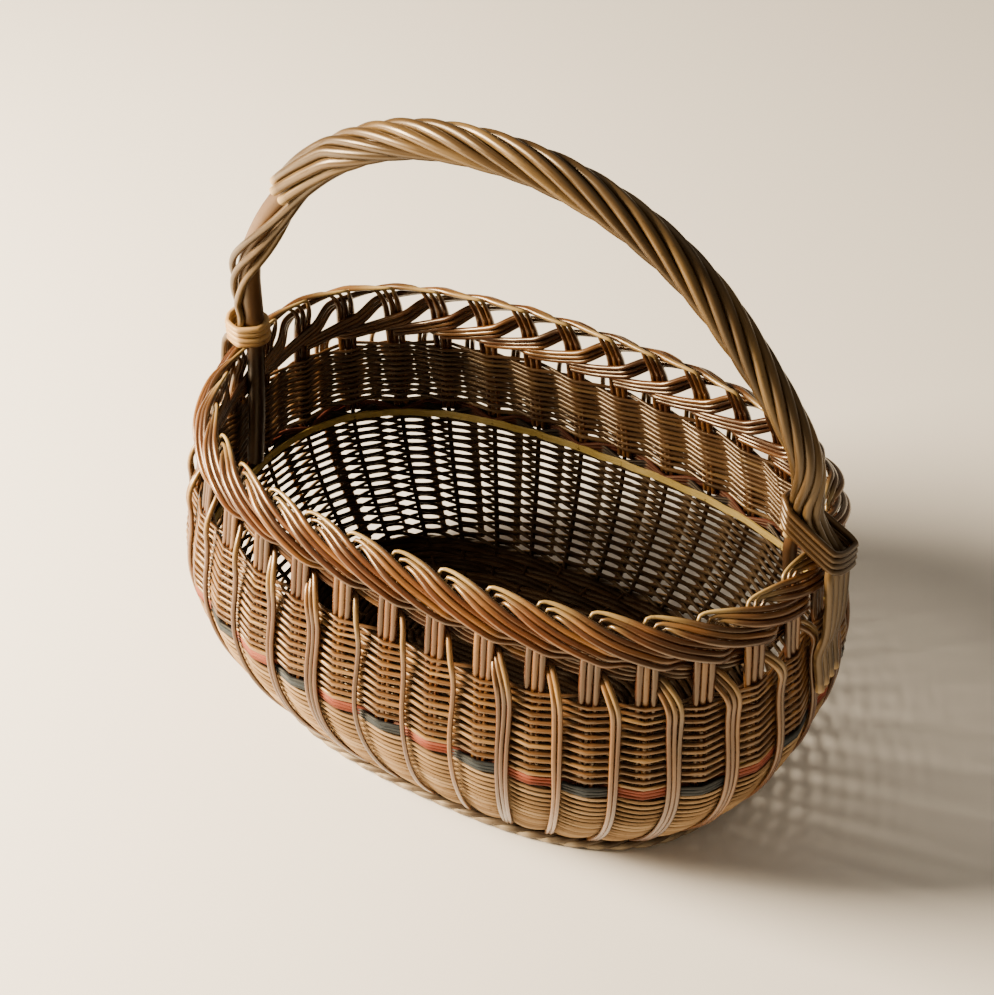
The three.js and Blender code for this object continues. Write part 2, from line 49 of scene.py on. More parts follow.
def add_camera():
    azimuth, elevation, roll = 0.541952, 0.750913, -0.0220836
    distance = 1400.2 * mm
    target = Vector((-9.28 * mm, 0, 173.05 * mm))
    back = Vector((
        math.sin(azimuth) * math.cos(elevation),
        -math.cos(azimuth) * math.cos(elevation),
        math.sin(elevation),
    ))
    level = Vector((math.cos(azimuth), math.sin(azimuth), 0))
    upward = back.cross(level)
    across = level * math.cos(roll) + upward * math.sin(roll)
    upright = upward * math.cos(roll) - level * math.sin(roll)
    bpy.ops.object.camera_add(location=target + back * distance)
    camera = bpy.context.object
    turn = Matrix((across, upright, back)).transposed()
    camera.rotation_euler = turn.to_euler()
    camera.data.sensor_width = 36
    camera.data.lens = 79.61
    camera.data.clip_end = 20
    bpy.context.scene.camera = camera


add_camera()


# Sizes of the basket

# A share is a place round the wall, 0 at the +X end and 0.5 at the -X end. A lag is the
# same, counted in stakes from the first. Depth is how far out of the wall's middle a place is
fullness = 2.6
outline_power = 2 / fullness
foot_half = (160 * mm, 103 * mm)
belly_half = (216 * mm, 145 * mm)
weave_half = (209 * mm, 133.5 * mm)
rim_half = (204 * mm, 122.5 * mm)
belly_height = 110 * mm
weave_height = 170 * mm
rim_height = 228 * mm
openwork_height = rim_height - weave_height
wall_foot = 9 * mm
wall_centre = -0.5 * mm
stake_count = 34
pitch = 1 / stake_count
first_stake = 0.8016
layer = 4.5 * mm
# The handle pulls the rim a little out of true beside its left leg
pull_share, pull_reach = 0.53, 0.075
pull_start, pull_full = 165 * mm, 220 * mm
rim_pull = Vector((4.5 * mm, 6.5 * mm, 0))


def outline(angle):
    """An oval that is fuller than an ellipse, one unit in its half length and half width."""
    c, s = np.cos(angle), np.sin(angle)
    return (
        np.sign(c) * np.abs(c) ** outline_power,
        np.sign(s) * np.abs(s) ** outline_power,
    )


# Angles that part the rim into equal lengths
rim_angles = np.linspace(0, 2 * math.pi, 1441)
rim_x, rim_y = outline(rim_angles)
rim_steps = np.hypot(np.diff(rim_x) * rim_half[0], np.diff(rim_y) * rim_half[1])
rim_lengths = np.concatenate([[0], np.cumsum(rim_steps)])
rim_lengths /= rim_lengths[-1]


def half_size(height, axis):
    """Half length or half width of the wall: round up to the belly, straight at the rim."""
    foot, belly, weave, rim = (x[axis] for x in (foot_half, belly_half, weave_half, rim_half))
    lean = (rim - weave) / openwork_height
    if height < belly_height:
        return belly - (belly - foot) * (1 - height / belly_height) ** 2
    if height > weave_height:
        return weave + lean * (height - weave_height)
    span = weave_height - belly_height
    t = (height - belly_height) / span
    fall = t * t * (3 - 2 * t)
    return belly + (weave - belly) * fall + lean * span * (t ** 3 - t ** 2)


def wall_middle(share, height):
    """A place on the middle surface of the wall."""
    x, y = outline(np.interp(share % 1, rim_lengths, rim_angles))
    return Vector((x * half_size(height, 0), y * half_size(height, 1), height))


def wall_directions(share, height):
    """Up the wall, square to it, and level out of it."""
    step = pitch / 20
    along = wall_middle(share + step, height) - wall_middle(share - step, height)
    rise = 0.1 * mm
    up = wall_middle(share, height + rise) - wall_middle(share, height - rise)
    along.normalize()
    up.normalize()
    face = along.cross(up).normalized()
    out = Vector((along.y, -along.x, 0)).normalized()
    return up, face, out


def smooth_step(value, low, high):
    """0 below low, 1 above high and a smooth rise between."""
    t = min(max((value - low) / (high - low), 0), 1)
    return t * t * (3 - 2 * t)


def on_wall(share, height, depth):
    """A place at some depth out of the wall, with the pull of the handle on the rim."""
    away = (share % 1 - pull_share) / pull_reach
    pull = smooth_step(height, pull_start, pull_full) * math.exp(-away ** 2)
    place = wall_middle(share, height) + wall_directions(share, height)[2] * depth
    return place + rim_pull * pull


# Half lengths and half widths of the wall by height
half_heights = np.linspace(0, 250 * mm, 251)
half_lengths = np.array([[half_size(h, axis) for axis in (0, 1)] for h in half_heights])


def lag_share(lag):
    """Place along the border, counted in stakes from the first."""
    return first_stake + lag * pitch


def even_steps(low, high, count):
    return [low + (high - low) * i / (count - 1) for i in range(count)]


# Materials

def linear(hex_colour):
    """An sRGB hex value as linear colour."""
    parts = [int(hex_colour[i:i + 2], 16) / 255 for i in (0, 2, 4)]
    return [p / 12.92 if p <= 0.04045 else ((p + 0.055) / 1.055) ** 2.4 for p in parts] + [1]


def add_node(tree, kind, values=None, links=None, **settings):
    made = tree.nodes.new(kind)
    for key, value in settings.items():
        setattr(made, key, value)
    for socket, value in (values or {}).items():
        made.inputs[socket].default_value = value
    for socket, source in (links or {}).items():
        tree.links.new(source, made.inputs[socket])
    return made


# Streaks are 1 to 2 mm wide round a rod and about 30 mm long, its tone changes over about
# 60 mm, and flecks are 1 to 2 mm
streaks_round_rod = 9.0
streaks_per_metre = 33.0
tones_per_metre = 16.0
flecks_per_metre = 420.0
# Rods take their grain from places in the noise that lie up to this far apart
rod_shift = 71.0
# How much a rod's own tone, the change along it and its streaks count on the colour ramp
own_share, slow_share, streak_share = 0.36, 0.42, 0.45
# What is taken off again for the streaks, and what every rod is lighter by
streak_middle, lighter = 0.22, 0.08
# How much the flecks show
fleck_share = 0.35
# Colour of the painted shade on what lies deep in the weave and faces the inside
painted_shade_colour = "140702"


def willow(name, dark, middle, light, worn_and_sheen_colour, roughness, coat=0.1, grain=0.5, shine=0.5):
    """Willow rod. Its tone differs from rod to rod and along each rod, with fine streaks
    that run with the wood and small dark flecks where buds and bark were. Cut ends are
    worn paler, and bends are paler where worn and where a highlight is painted at the
    fold. What lies deep in the weave or faces the inside is darkened as painted shade."""
    material = bpy.data.materials.new(name)
    material.use_nodes = True
    tree = material.node_tree
    tree.nodes.clear()
    rod = add_node(tree, "ShaderNodeAttribute", attribute_name="rod")
    parts = add_node(tree, "ShaderNodeSeparateXYZ", links={0: rod.outputs["Vector"]})
    tone, along, wear_and_sheen = parts.outputs[0], parts.outputs[1], parts.outputs[2]
    round_rod = add_node(tree, "ShaderNodeUVMap", uv_map="UVMap")
    wrap = add_node(tree, "ShaderNodeSeparateXYZ", links={0: round_rod.outputs[0]})
    place = add_node(tree, "ShaderNodeTexCoord")
    turn = add_node(
        tree, "ShaderNodeMath", operation="MULTIPLY",
        values={1: streaks_round_rod}, links={0: wrap.outputs[1]},
    )
    run = add_node(
        tree, "ShaderNodeMath", operation="MULTIPLY",
        values={1: streaks_per_metre}, links={0: along},
    )
    shift = add_node(
        tree, "ShaderNodeMath", operation="MULTIPLY",
        values={1: rod_shift}, links={0: tone},
    )
    streak_at = add_node(
        tree, "ShaderNodeCombineXYZ",
        links={0: turn.outputs[0], 1: run.outputs[0], 2: shift.outputs[0]},
    )
    streaks = add_node(
        tree, "ShaderNodeTexNoise",
        values={"Scale": 1.0, "Detail": 3.0, "Roughness": 0.6},
        links={"Vector": streak_at.outputs[0]},
    )
    slow = add_node(
        tree, "ShaderNodeMath", operation="MULTIPLY",
        values={1: tones_per_metre}, links={0: along},
    )
    slow_at = add_node(
        tree, "ShaderNodeCombineXYZ",
        links={0: slow.outputs[0], 1: shift.outputs[0]},
    )
    slow_tone = add_node(
        tree, "ShaderNodeTexNoise",
        values={"Scale": 1.0, "Detail": 2.0},
        links={"Vector": slow_at.outputs[0]},
    )
    flecks = add_node(
        tree, "ShaderNodeTexNoise",
        values={"Scale": flecks_per_metre, "Detail": 2.0},
        links={"Vector": place.outputs["Object"]},
    )
    fleck_edge = add_node(
        tree, "ShaderNodeMapRange",
        values={"From Min": 0.62, "From Max": 0.72, "To Min": 0.0, "To Max": fleck_share},
        links={"Value": flecks.outputs[0]},
    )
    own_tone = add_node(
        tree, "ShaderNodeMath", operation="MULTIPLY",
        values={1: own_share}, links={0: tone},
    )
    changed_tone = add_node(
        tree, "ShaderNodeMath", operation="MULTIPLY_ADD",
        values={1: slow_share}, links={0: slow_tone.outputs[0], 2: own_tone.outputs[0]},
    )
    streaked_tone = add_node(
        tree, "ShaderNodeMath", operation="MULTIPLY_ADD",
        values={1: grain * streak_share},
        links={0: streaks.outputs[0], 2: changed_tone.outputs[0]},
    )
    level = add_node(
        tree, "ShaderNodeMath", operation="SUBTRACT",
        values={1: grain * streak_middle - lighter}, links={0: streaked_tone.outputs[0]},
    )
    ramp = add_node(tree, "ShaderNodeValToRGB", links={0: level.outputs[0]})
    ramp.color_ramp.elements[0].position = 0.12
    ramp.color_ramp.elements[0].color = linear(dark)
    ramp.color_ramp.elements[1].position = 0.85
    ramp.color_ramp.elements[1].color = linear(light)
    ramp.color_ramp.elements.new(0.48).color = linear(middle)
    # Paler where worn, and at the border's bends also as a painted highlight
    paled_by_wear_and_sheen = add_node(
        tree, "ShaderNodeMix", data_type="RGBA", values={7: linear(worn_and_sheen_colour)},
        links={0: wear_and_sheen, 6: ramp.outputs[0]},
    )
    spotted = add_node(
        tree, "ShaderNodeMix", data_type="RGBA",
        values={7: [x * 0.25 for x in linear(dark)[:3]] + [1]},
        links={0: fleck_edge.outputs[0], 6: paled_by_wear_and_sheen.outputs[2]},
    )
    # Painted shade: the colour goes dark where the weave lies deep or faces the inside
    painted_shade = add_node(tree, "ShaderNodeAttribute", attribute_name="painted_shade")
    painted_shade_mix = add_node(
        tree, "ShaderNodeMix", data_type="RGBA", values={7: linear(painted_shade_colour)},
        links={0: painted_shade.outputs["Fac"], 6: spotted.outputs[2]},
    )
    gloss = add_node(
        tree, "ShaderNodeMapRange",
        values={
            "From Min": 0.3, "From Max": 0.7,
            "To Min": roughness - 0.08, "To Max": roughness + 0.12,
        },
        links={"Value": streaks.outputs[0]},
    )
    bump = add_node(
        tree, "ShaderNodeBump",
        values={"Strength": 0.5, "Distance": 0.25 * mm},
        links={"Height": streaks.outputs[0]},
    )
    shader = add_node(
        tree, "ShaderNodeBsdfPrincipled",
        values={
            "IOR": 1.5, "Specular IOR Level": shine, "Specular Tint": linear("ffe6c0"),
            "Coat Weight": coat, "Coat Roughness": 0.3,
        },
        links={
            "Base Color": painted_shade_mix.outputs[2], "Roughness": gloss.outputs[0],
            "Normal": bump.outputs[0],
        },
    )
    add_node(tree, "ShaderNodeOutputMaterial", links={0: shader.outputs[0]})
    return material


# Buff willow, boiled in its bark and stripped: warm golden brown under a worn varnish
buff_border = willow(
    "buff_willow_varnished", "1e0c04", "583015", "9c6c35", "dcbc78",
    roughness=0.26, coat=0.3, shine=0.9,
)
# The same rods in the upper wall, lighter where they were less handled
buff_weavers = willow(
    "buff_willow_weavers", "2e1a0a", "74502c", "b28c56", "d8bc84",
    roughness=0.32, coat=0.2, shine=0.8,
)
# Paler rods of the lower wall, faded to tan and dusty
faded_weavers = willow(
    "white_willow_faded", "6a4f32", "a2825c", "c9ab84", "dcc8a0",
    roughness=0.55, coat=0, shine=0.25,
)
# Weavers dyed slate blue
blue_willow = willow(
    "willow_dyed_slate", "181d20", "30383d", "50595f", "626e75",
    roughness=0.5, coat=0, shine=0.3,
)
# Weavers dyed a red that has faded to rose
red_willow = willow(
    "willow_dyed_rose", "4e1c13", "87412f", "ad6450", "c4836f",
    roughness=0.5, coat=0, shine=0.3,
)
# Shaved split willow, flat and pale
split_willow = willow(
    "split_willow_pale", "4e3a17", "a08a4c", "ded0a0", "dccb97",
    roughness=0.42, coat=0.1, grain=0.9,
)
# Brown willow with its bark on, dark with age and darkened further as painted shade for the shaded
# base and sticks
dark_willow = willow(
    "brown_willow_aged_and_shaded", "0d0602", "21130a", "3e2b18", "5a4330",
    roughness=0.55, coat=0, shine=0.2,
)
# Rods of the foot, greyed by wear on the floor
foot_willow = willow(
    "brown_willow_greyed", "1a130c", "43352a", "86745d", "bba98c",
    roughness=0.5, coat=0.05, shine=0.4,
)
# Weathered handle rods: dull olive brown that keeps a soft shine where hands hold it
handle_willow = willow(
    "willow_handle_weathered", "241809", "503c22", "82693f", "ba9c6a",
    roughness=0.32, coat=0.15, shine=0.7,
)
# The stout core rod, reddish brown under its worn bark
core_willow = willow(
    "willow_core_rod", "2c1b0c", "553a20", "765330", "886540",
    roughness=0.38, coat=0.1, shine=0.5,
)
# Wrap of the left leg: fine willow, pale tan
wrap_willow = willow(
    "willow_wrap_tan", "6b4826", "ac8450", "d0b07a", "d8bc8c",
    roughness=0.4, coat=0.05,
)
# Wrap of the right leg: the same, brown and a little glossy
dark_wrap_willow = willow(
    "willow_wrap_brown", "23150a", "523a1d", "866536", "b8934e",
    roughness=0.34, coat=0.15, shine=0.7,
)


# Rods

# The painted shade of the weave begins at this depth and is full this much further in
shade_depth, shade_fade = 1.5 * mm, 4 * mm
# It has gone at this height and is full this much further down
shade_top, shade_top_fade = rim_height + 4 * mm, 10 * mm


def painted_shade_places(mesh, amount):
    """The painted shade: amount where a vertex lies deep in the wall or faces the inside of the
    basket, else 0.
    """
    place = np.empty(len(mesh.vertices) * 3)
    normal = np.empty(len(mesh.vertices) * 3)
    mesh.vertices.foreach_get("co", place)
    mesh.vertices.foreach_get("normal", normal)
    place, normal = place.reshape(-1, 3), normal.reshape(-1, 3)
    heights = place[:, 2]
    half = np.stack([np.interp(heights, half_heights, half_lengths[:, axis]) for axis in (0, 1)], 1)
    part = np.abs(place[:, :2]) / half
    reach = (part ** fullness).sum(1) ** (1 / fullness)
    slope = np.sign(place[:, :2]) * part ** (fullness - 1) / half
    slope *= reach[:, None] ** (1 - fullness)
    steep = np.hypot(slope[:, 0], slope[:, 1])
    depth = (reach - 1) / steep
    facing = (normal[:, :2] * slope).sum(1) / steep
    shade_share = np.clip(np.maximum((shade_depth - depth) / shade_fade, 0.3 - 1.5 * facing), 0, 1)
    return amount * shade_share * np.clip((shade_top - heights) / shade_top_fade, 0, 1)


def finish_piece(piece, material, nodes):
    """Gives a piece its material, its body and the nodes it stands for."""
    piece.data.materials.clear()
    piece.data.materials.append(material)
    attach(piece, "root")
    if nodes:
        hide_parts(*nodes)


def lay_rods(name, rods, material, nodes, closed=False, sides=6, painted_shade=0):
    """Draws each rod as a bevelled curve along its path and turns them into one piece.
    A rod is its points, radii and tone, and where it is worn and where a highlight is
    painted at a fold, its wear and painted highlight. The last argument sets how much
    painted shade it gets where it lies deep in the wall and where it faces the inside."""
    bpy.ops.object.select_all(action="DESELECT")
    bpy.ops.object.add(type="CURVE")
    piece = bpy.context.object
    piece.name = name
    curve = piece.data
    curve.dimensions = "3D"
    curve.bevel_depth = 1
    curve.bevel_resolution = sides // 2 - 2
    for points, radii, *_ in rods:
        spline = curve.splines.new("POLY")
        spline.points.add(len(points) - 1)
        spline.points.foreach_set("co", [v for p in points for v in (*p, 1)])
        spline.points.foreach_set("radius", list(radii))
        spline.use_cyclic_u = closed
    bpy.ops.object.convert(target="MESH")
    piece = bpy.context.object
    mesh = piece.data
    # tone of each rod, the distance along it for the grain, and its wear, with the painted
    # highlight at the border's bends
    corners = []
    for points, _, tone, *wear_and_sheen in rods:
        reach = 0.0
        for i, point in enumerate(points):
            if i:
                reach += (Vector(point) - Vector(points[i - 1])).length
            corners += [(tone, reach, wear_and_sheen[0][i] if wear_and_sheen else 0)] * sides
    note = mesh.attributes.new("rod", "FLOAT_VECTOR", "POINT")
    note.data.foreach_set("vector", [v for c in corners for v in c])
    if not closed:
        bpy.ops.object.mode_set(mode="EDIT")
        bpy.ops.mesh.select_all(action="SELECT")
        bpy.ops.mesh.fill_holes(sides=0)
        bpy.ops.mesh.normals_make_consistent(inside=False)
        bpy.ops.object.mode_set(mode="OBJECT")
    bpy.ops.object.shade_smooth_by_angle(angle=math.radians(60))
    # Painted shade where the rod lies deep in the wall or faces the inside
    if painted_shade:
        note = mesh.attributes.new("painted_shade", "FLOAT", "POINT")
        note.data.foreach_set("value", painted_shade_places(mesh, painted_shade))
    finish_piece(piece, material, nodes)


def uneven(amount):
    """A small amount either way, another one each time."""
    return random.uniform(-amount, amount)


def bend_through(stations, step):
    """A smooth path through stations, each a place and then other values, at even steps.
    It is a centripetal spline, which keeps tight bends tight."""
    rows = np.array([(*place, *values) for place, *values in stations], float)
    ends = np.vstack([2 * rows[0] - rows[1], rows, 2 * rows[-1] - rows[-2]])
    made = []
    for i in range(len(rows) - 1):
        p0, p1, p2, p3 = ends[i:i + 4]
        chords = [np.linalg.norm(b[:3] - a[:3]) for a, b in ((p0, p1), (p1, p2), (p2, p3))]
        t1 = max(chords[0], 1e-6) ** 0.5
        t2 = t1 + max(chords[1], 1e-6) ** 0.5
        t3 = t2 + max(chords[2], 1e-6) ** 0.5
        count = max(int(chords[1] / step + 0.5), 1)
        for t in t1 + (t2 - t1) * np.arange(count) / count:
            a1 = p0 * (t1 - t) / t1 + p1 * t / t1
            a2 = p1 * (t2 - t) / (t2 - t1) + p2 * (t - t1) / (t2 - t1)
            a3 = p2 * (t3 - t) / (t3 - t2) + p3 * (t - t2) / (t3 - t2)
            b1 = a1 * (t2 - t) / t2 + a2 * t / t2
            b2 = a2 * (t3 - t) / (t3 - t1) + a3 * (t - t1) / (t3 - t1)
            made.append(b1 * (t2 - t) / (t2 - t1) + b2 * (t - t1) / (t2 - t1))
    made.append(rows[-1])
    return np.array(made)


# Wall: rows of rods round the stakes and sticks

def weave_wave(steps):
    """1 outside a stake, -1 inside the next, straight between and a little rounded."""
    fold = abs(steps % 2 - 1)
    return 0.88 * (2 * fold - 1) + 0.12 * math.cos(math.pi * steps)


# Steps from stake to stake, how far a row wavers, and how uneven a rod is in thickness
row_samples = 8
row_waver = 0.3 * mm
row_swell, twined_swell = 0.08, 0.06


def part_way(values, place):
    """The value at a place in a closed list, straight between its neighbours."""
    low = int(place)
    part = place - low
    return values[low] * (1 - part) + values[(low + 1) % len(values)] * part


def weaver_row(height, side, swing, radius, dip=0):
    """One row of weaving round the whole wall, in and out of the stakes. It drops by dip
    where it is inside, and the rod is a little uneven in thickness."""
    start = random.random()
    tone = random.random()
    count = stake_count * row_samples
    points, radii = [], []
    waver = [uneven(row_waver) for _ in range(stake_count * 2)]
    for i in range(count):
        lag = i / row_samples
        wave = side * weave_wave(lag)
        level = height + part_way(waver, i * len(waver) / count) - dip * max(-wave, 0)
        points.append(on_wall(lag_share(lag), level, wall_centre + swing * wave))
        radii.append(radius * (1 + row_swell * math.sin(7 * lag + start * 6)))
    return points, radii, tone


def twined_row(height, swing, radius):
    """Two rods that pass each stick on opposite sides and cross between the sticks."""
    waver = [uneven(row_waver) for _ in range(stake_count)]
    pair = []
    for side in (1, -1):
        start = random.random()
        points, radii = [], []
        for i in range(stake_count * row_samples):
            lag = i / row_samples
            level = height + part_way(waver, lag) - side * radius * math.sin(math.pi * lag)
            depth = wall_centre + side * swing * math.cos(math.pi * lag)
            points.append(on_wall(lag_share(lag), level, depth))
            radii.append(radius * (1 + twined_swell * math.sin(5 * lag + start * 6)))
        pair.append((points, radii, random.random()))
    return pair


def profile_levels(low, high, spacing):
    """Heights that part the wall's slope into equal steps."""
    heights = np.linspace(low, high, 400)
    reach = [half_size(h, 1) for h in heights]
    length = np.concatenate([[0], np.cumsum(np.hypot(np.diff(heights), np.diff(reach)))])
    count = int(round(length[-1] / spacing)) + 1
    return np.interp(np.linspace(0, length[-1], count), length, heights)


# Lower wall: pale rods twined in pairs

lower_bottom, lower_top, lower_row_count = 10.8 * mm, 95.4 * mm, 16
lower_swing, lower_radius = 3.1 * mm, 1.4 * mm

lower_rows = []
for height in even_steps(lower_bottom, lower_top, lower_row_count):
    lower_rows += twined_row(height, lower_swing, lower_radius)
lay_rods(
    "lower_weave_rows", lower_rows, faded_weavers, ["lower_weave"],
    # strength of the painted shade
    closed=True, painted_shade=0.95,
)


# Upper wall: single rods, in and out in turn. The last rows are finer and closer

upper_bottom, upper_top, upper_spacing = 110 * mm, 157 * mm, 2.8 * mm
upper_swing, upper_radius = 3.8 * mm, 1.55 * mm
close_row_count, close_spacing, close_radius = 5, 2.3 * mm, 1.25 * mm

upper_levels = [(h, upper_radius) for h in profile_levels(upper_bottom, upper_top, upper_spacing)]
for _ in range(close_row_count):
    upper_levels.append((upper_levels[-1][0] + close_spacing, close_radius))
upper_rows = [
    weaver_row(height, 1 if i % 2 else -1, upper_swing, radius)
    for i, (height, radius) in enumerate(upper_levels)
]
lay_rods(
    "upper_weave_rows", upper_rows, buff_weavers, ["upper_weave"],
    # strength of the painted shade
    closed=True, painted_shade=0.75,
)


# Dyed rods between the two walls: inside they drop behind the flat strip

dyed_swing, dyed_radius = 3.6 * mm, 1.4 * mm
# Heights and dips in mm
blue_levels = [(99.4, 1.6), (102.2, 2.8), (105, 4)]
red_levels = [(100.8, 2.2), (103.6, 3.4), (106.6, 4.8)]


def lay_dyed_rods(name, levels, side, material, node):
    """Rods that all lie outside the same stakes: every second one from the first at side 1,
    and the others at side -1."""
    rows = [
        weaver_row(height * mm, side, dyed_swing, dyed_radius, dip * mm)
        for height, dip in levels
    ]
    # strength of the painted shade
    lay_rods(name, rows, material, [node], closed=True, painted_shade=0.85)


lay_dyed_rods("blue_weaver_rods", blue_levels, 1, blue_willow, "blue_weavers")
lay_dyed_rods("red_weaver_rods", red_levels, -1, red_willow, "red_weavers")


# Sticks of the lower wall, one in the middle of each panel

stick_radius = 1.75 * mm
stick_heights = even_steps(8.5 * mm, 107 * mm, 12)

lower_sticks = []
for i in range(stake_count):
    points = [on_wall(lag_share(i), height, wall_centre) for height in stick_heights]
    lower_sticks.append((points, [stick_radius] * len(points), random.random()))
# Painted shade on the sticks deep in the wall
lay_rods("lower_weave_sticks", lower_sticks, dark_willow, [], painted_shade=0.8)


# Trac border: every upright bends over at the rim, runs past four others and ends as a rib

# The way of one stake group. Columns: lag, rise over the weave as a share of the openwork,
# depth in layers, width in mm, tilt as a share of a quarter turn, and wear, which at the bends is
# also a painted highlight
border_way = [
    [0, -1.15, -0.1, 10.5, 0, 0], [0, -0.3, -0.1, 10.5, 0, 0], [0, 0.04, -0.05, 13.2, 0, 0],
    [0, 0.5, 0, 13.2, 0, 0], [0, 0.72, -0.55, 11.6, 0, 0], [0, 0.86, -0.95, 8.6, 0, 0.1],
    [0.02, 0.93, -1.05, 7, 0.25, 0.8], [0.13, 0.945, -1.0, 7.2, 0.4, 1],
    [0.4, 0.935, -0.6, 9.4, 0.5, 0.6], [0.7, 0.91, 0, 11.4, 0.5, 0.15],
    [1, 0.87, 0.7, 12.4, 0.5, 0.05], [1.5, 0.77, 1.2, 12.2, 0.5, 0],
    [2, 0.67, 1.25, 11.8, 0.42, 0], [2.3, 0.6, 1.0, 11.4, 0.15, 0], [2.7, 0.48, -1.0, 11, 0, 0],
    [3, 0.41, -1.2, 11, 0, 0], [3.5, 0.31, -1.2, 10.6, 0, 0], [4.0, 0.26, -1.25, 10, 0, 0],
    [4.2, 0.24, -0.6, 9.4, 0, 0.1], [4.33, 0.18, 0.5, 9, 0, 0.3], [4.44, 0.08, 1.3, 8.8, 0, 0.4],
    [4.49, -0.04, 1.5, 8.8, 0, 0.2], [4.5, -0.22, 1.1, 8.8, 0, 0],
]
# The rib down the weave: the lag where the way turns down to it and the lag where it runs,
# and its width in mm at its foot and how much wider it is at the top of the weave
turn_lag, rib_lag = 4.2, 4.5
rib_width, rib_widening = 5.4, 3.2
rib_start_drop = 14 * mm
rib_bottom = 11 * mm
rib_depth = 3.5 * mm
# A rod's radius in mm at the top of the rib and how much thinner it is at the foot
rib_radius, rib_taper = 1.85, 0.5
# Rods that are left in each rib, counted from the upright nearest the camera
front_stake = 30
rib_rods = {-4: 3, -3: 1, -2: 1, -1: 1, 0: 3, 1: 2, 2: 2, 3: 3, 4: 3, 5: 2, 6: 2, 7: 3}
# The border is tighter where the handle's rods press on it
tight_share, tight_reach, tightening = 0.54, 0.07, 0.16
# Rods of a group are this much thicker than their share of its width, so that they touch
crowding = 1.03
bow_size, bow_turn = 0.3 * mm, 0.9
border_step = 3.2 * mm
# The second and third rod fold further along, under the first: each by this much more, in
# these shares of it at the stations of the fold
fold_step = 3.6 * mm
fold_shares = {4: 0.2, 5: 0.7, 6: 1, 7: 1, 8: 0.5}


def group_stations(k):
    """The way of group k. Each station is its place, the direction across it with its
    mitre, the way it faces, its width, its wear and painted highlight, and whether it lies in the
    rib."""
    rows = [[lag, weave_height + rise * openwork_height, *rest] for lag, rise, *rest in border_way]
    for row in rows:
        row[2] *= layer
    last = rows[-1][1]
    for height in even_steps(last - rib_start_drop, rib_bottom, 9):
        width = rib_width + rib_widening * height / weave_height
        rows.append([rib_lag, height, rib_depth, width, 0, 0])
    places = [on_wall(lag_share(k + lag), height, depth) for lag, height, depth, *_ in rows]
    stations = []
    for i, (lag, height, _, width, tilt, wear_and_sheen) in enumerate(rows):
        arriving = (places[max(i, 1)] - places[max(i, 1) - 1]).normalized()
        leaving = (places[min(i + 1, len(rows) - 1)] - places[min(i, len(rows) - 2)]).normalized()
        tangent = (arriving + leaving).normalized()
        share = lag_share(k + lag)
        width *= 1 - tightening * math.exp(-((share % 1 - tight_share) / tight_reach) ** 2)
        mitre = 1 / max(tangent.dot(arriving), 0.7)
        up, face, _ = wall_directions(share, height)
        angle = tilt * math.pi / 2
        facing = face * math.cos(angle) + up * math.sin(angle)
        facing = (facing - tangent * facing.dot(tangent)).normalized()
        side = tangent.cross(facing).normalized() * mitre
        stations.append((places[i], side, facing, width * mm, wear_and_sheen, lag >= turn_lag))
    return stations


def stake_rods(k, left_in_rib):
    """The three rods of group k side by side. Only some of them go on into its rib."""
    stations = group_stations(k)
    rib_start = [in_rib for *_, in_rib in stations].index(True)
    rods = []
    # How much this group is paled at its bends, by wear and as a painted highlight, the first rod
    # most
    group_wear_and_sheen = random.uniform(0.5, 1)
    # the direction in which the group runs on from its fold
    trail = (stations[9][0] - stations[7][0]).normalized()
    for j in range(3):
        route = []
        sway = random.uniform(0, 6)
        paled_by_wear_and_sheen = group_wear_and_sheen * (1, random.uniform(0.1, 1), 0.25)[j]
        for i, (place, side, facing, width, wear_and_sheen, in_rib) in enumerate(stations):
            if in_rib and j >= left_in_rib:
                break
            spread = (j - 1) * width / 3
            thick = width / 6 * crowding
            if in_rib:
                # the rods that are left close up
                blend = min((i - rib_start + 1) / 3, 1)
                spread += blend * ((j - (left_in_rib - 1) / 2) * width / 2.5 - spread)
                down_rib = (i - rib_start) / (len(stations) - rib_start)
                thick = (rib_radius - rib_taper * down_rib) * mm
            bow = bow_size * math.sin(i * bow_turn + sway)
            place = place + trail * j * fold_step * fold_shares.get(i, 0)
            route.append((place + side * (spread + bow) + facing * bow, thick, wear_and_sheen * paled_by_wear_and_sheen))
        path = bend_through(route, border_step)
        points = [Vector(row[:3]) for row in path]
        rods.append((points, path[:, 3], random.random(), path[:, 4].clip(0, 1)))
    return rods


for k in range(stake_count):
    from_front = (k - front_stake + stake_count // 2) % stake_count - stake_count // 2
    left_in_rib = rib_rods.get(from_front, random.choice([1, 2, 2, 3]))
    lay_rods(
        f"stake_group_{k + 1:02d}_rods", stake_rods(k, left_in_rib), buff_border,
        [f"stake_group_{k + 1:02d}"], sides=8, painted_shade=0.5,
    # painted shade on the runs that lie behind and inside
    )


# Flat split strip round the inside, level with the dyed rows

strip_samples = 4
strip_tone = 0.55
strip_swell, strip_waver = 0.35 * mm, 0.15 * mm


